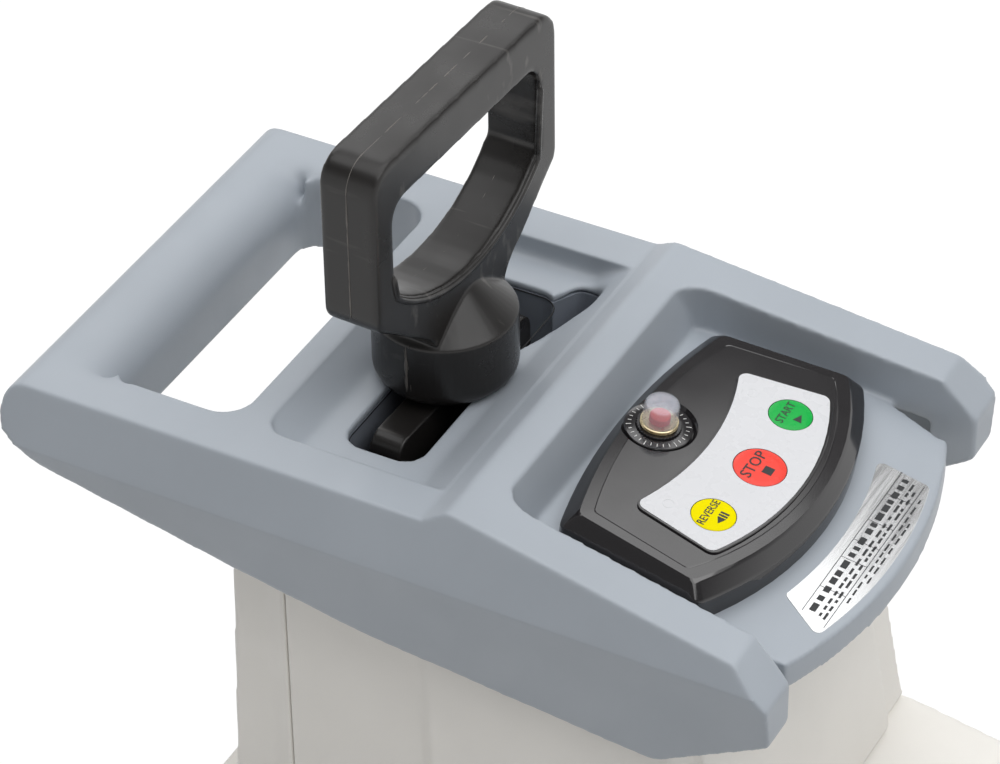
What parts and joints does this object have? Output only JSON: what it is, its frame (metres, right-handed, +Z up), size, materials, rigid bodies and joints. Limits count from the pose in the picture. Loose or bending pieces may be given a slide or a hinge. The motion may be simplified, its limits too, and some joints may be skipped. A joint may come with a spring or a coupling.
{
  "type": "garden shredder",
  "caption": "Quiet roller garden shredder: feed head with carry bar and pusher on a tower, geared cutting roller below, wheeled base with a slide-out collection box.",
  "frame": {"origin": "on the ground, under the middle of the machine's footprint", "axes": "+Z up, -Y towards the operator's side with the control panel, +X to the operator's right"},
  "size_m": [0.4732, 0.49, 0.938],
  "materials": {
    "cover_plastic": "fine satin grain, blue grey",
    "housing_plastic": "satin, warm light grey",
    "panel_black": "satin black with a glossy bevel",
    "overlay_white": "printed film, white",
    "button_green": "printed film, green",
    "button_red": "printed film, red",
    "button_yellow": "printed film, yellow",
    "lock_red": "satin red",
    "clear_boot": "clear silicone",
    "breaker_metal": "turned",
    "label_silver": "brushed foil, bare",
    "board_green": "solder resist",
    "pusher_black": "satin black, scuffed",
    "black_plastic": "satin black",
    "wheel_black": "dull black",
    "box_grey": "satin anthracite",
    "foot_rubber": "dull",
    "steel": "machined",
    "stack_steel": "laminated",
    "cast_aluminium": "die cast",
    "pinion_brass": "machined",
    "capacitor_shell": "smooth"
  },
  "bodies": {
    "machine_frame": {"top_cover": "cover_plastic", "control_panel": "panel_black", "panel_overlay": "overlay_white", "breaker_body": "black_plastic", "breaker_ring": "panel_black", "breaker_nut": "breaker_metal", "breaker_boot": "clear_boot", "rating_plate": "label_silver", "control_board": "board_green", "cover_screws": "steel", "feed_chute": "black_plastic", "tower_shell": "housing_plastic", "rear_cover": "housing_plastic", "lower_housing": "housing_plastic", "chassis_plate": "steel", "left_leg": "housing_plastic", "right_leg": "housing_plastic", "rear_panel": "housing_plastic", "front_brace": "black_plastic", "feet": "foot_rubber", "axle": "steel", "axle_washers": "black_plastic", "interlock_switch": "black_plastic", "motor_housing": "cast_aluminium", "motor_end_cap": "black_plastic", "stator": "stack_steel", "gear_pins": "steel", "gearbox_case": "cast_aluminium", "gearbox_cover": "cast_aluminium", "gearbox_screws": "steel", "bearings": "steel", "cutter_plate": "steel", "capacitor": "capacitor_shell", "mains_inlet": "black_plastic"},
    "start_button": {"start_button": "button_green"},
    "stop_button": {"stop_button": "button_red"},
    "reverse_button": {"reverse_button": "button_yellow"},
    "breaker_button": {"breaker_button": "button_red"},
    "pusher": {"pusher": "pusher_black"},
    "left_wheel": {"left_wheel": "wheel_black", "left_hub_cap": "black_plastic"},
    "right_wheel": {"right_wheel": "wheel_black", "right_hub_cap": "black_plastic"},
    "box": {"collection_box": "box_grey", "box_grip": "black_plastic"},
    "lock": {"box_lock": "lock_red"},
    "plunger": {"interlock_plunger": "lock_red"},
    "motor_rotor": {"rotor": "stack_steel", "motor_shaft": "steel", "cooling_fan": "black_plastic", "motor_pinion": "pinion_brass"},
    "first_gear": {"first_gear": "steel"},
    "second_gear": {"second_gear": "steel"},
    "roller": {"cutting_roller": "steel", "roller_shaft": "steel", "output_gear": "steel"},
    "pressure_plate": {"pressure_plate": "cast_aluminium"},
    "adjuster": {"adjuster_screw": "steel", "adjuster_knob": "black_plastic"}
  },
  "joints": [
    {"name": "start_press", "type": "slide", "parent": "machine_frame", "child": "start_button", "axis": [0, 0.1362, -0.9907], "range_m": [0, 0.001], "stiffness_N_per_m": 900},
    {"name": "stop_press", "type": "slide", "parent": "machine_frame", "child": "stop_button", "axis": [0, 0.1362, -0.9907], "range_m": [0, 0.001], "stiffness_N_per_m": 900},
    {"name": "reverse_press", "type": "slide", "parent": "machine_frame", "child": "reverse_button", "axis": [0, 0.1362, -0.9907], "range_m": [0, 0.001], "stiffness_N_per_m": 900},
    {"name": "breaker_trip", "type": "slide", "parent": "machine_frame", "child": "breaker_button", "axis": [0, -0.1362, 0.9907], "range_m": [0, 0.004]},
    {"name": "pusher_lift", "type": "slide", "parent": "machine_frame", "child": "pusher", "axis": [0, 0, 1], "range_m": [0, 0.15]},
    {"name": "box_slide", "type": "slide", "parent": "machine_frame", "child": "box", "axis": [0, -1, 0], "range_m": [0, 0.35]},
    {"name": "lock_slide", "type": "slide", "parent": "machine_frame", "child": "lock", "axis": [1, 0, 0], "range_m": [0, 0.02]},
    {"name": "interlock_press", "type": "slide", "parent": "machine_frame", "child": "plunger", "axis": [1, 0, 0], "range_m": [0, 0.002], "stiffness_N_per_m": 500},
    {"name": "left_wheel_spin", "type": "hinge", "parent": "machine_frame", "child": "left_wheel", "pos_m": [-0.2146, 0.163, 0.08], "axis": [1, 0, 0], "continuous": true},
    {"name": "right_wheel_spin", "type": "hinge", "parent": "machine_frame", "child": "right_wheel", "pos_m": [0.2146, 0.163, 0.08], "axis": [1, 0, 0], "continuous": true},
    {"name": "motor_spin", "type": "hinge", "parent": "machine_frame", "child": "motor_rotor", "pos_m": [0, -0.12787, 0.48888], "axis": [1, 0, 0], "continuous": true},
    {"name": "first_gear_spin", "type": "hinge", "parent": "machine_frame", "child": "first_gear", "pos_m": [0.07, -0.08752, 0.49746], "axis": [1, 0, 0], "continuous": true},
    {"name": "second_gear_spin", "type": "hinge", "parent": "machine_frame", "child": "second_gear", "pos_m": [0.08, -0.03617, 0.50837], "axis": [1, 0, 0], "continuous": true},
    {"name": "roller_spin", "type": "hinge", "parent": "machine_frame", "child": "roller", "pos_m": [0, 0.034, 0.496], "axis": [1, 0, 0], "continuous": true},
    {"name": "adjuster_turn", "type": "hinge", "parent": "machine_frame", "child": "adjuster", "pos_m": [-0.005, 0.17, 0.502], "axis": [0, 1, 0], "range_deg": [0, 720]},
    {"name": "plate_slide", "type": "slide", "parent": "machine_frame", "child": "pressure_plate", "axis": [0, -1, 0], "range_m": [0, 0.003]}
  ],
  "couplings": [
    {"joint": "first_gear_spin", "follows": "motor_spin", "ratio": -0.22222},
    {"joint": "second_gear_spin", "follows": "motor_spin", "ratio": 0.055556},
    {"joint": "roller_spin", "follows": "motor_spin", "ratio": -0.014815},
    {"joint": "adjuster_turn", "follows": "plate_slide", "rad_per_m": 4188.7}
  ]
}
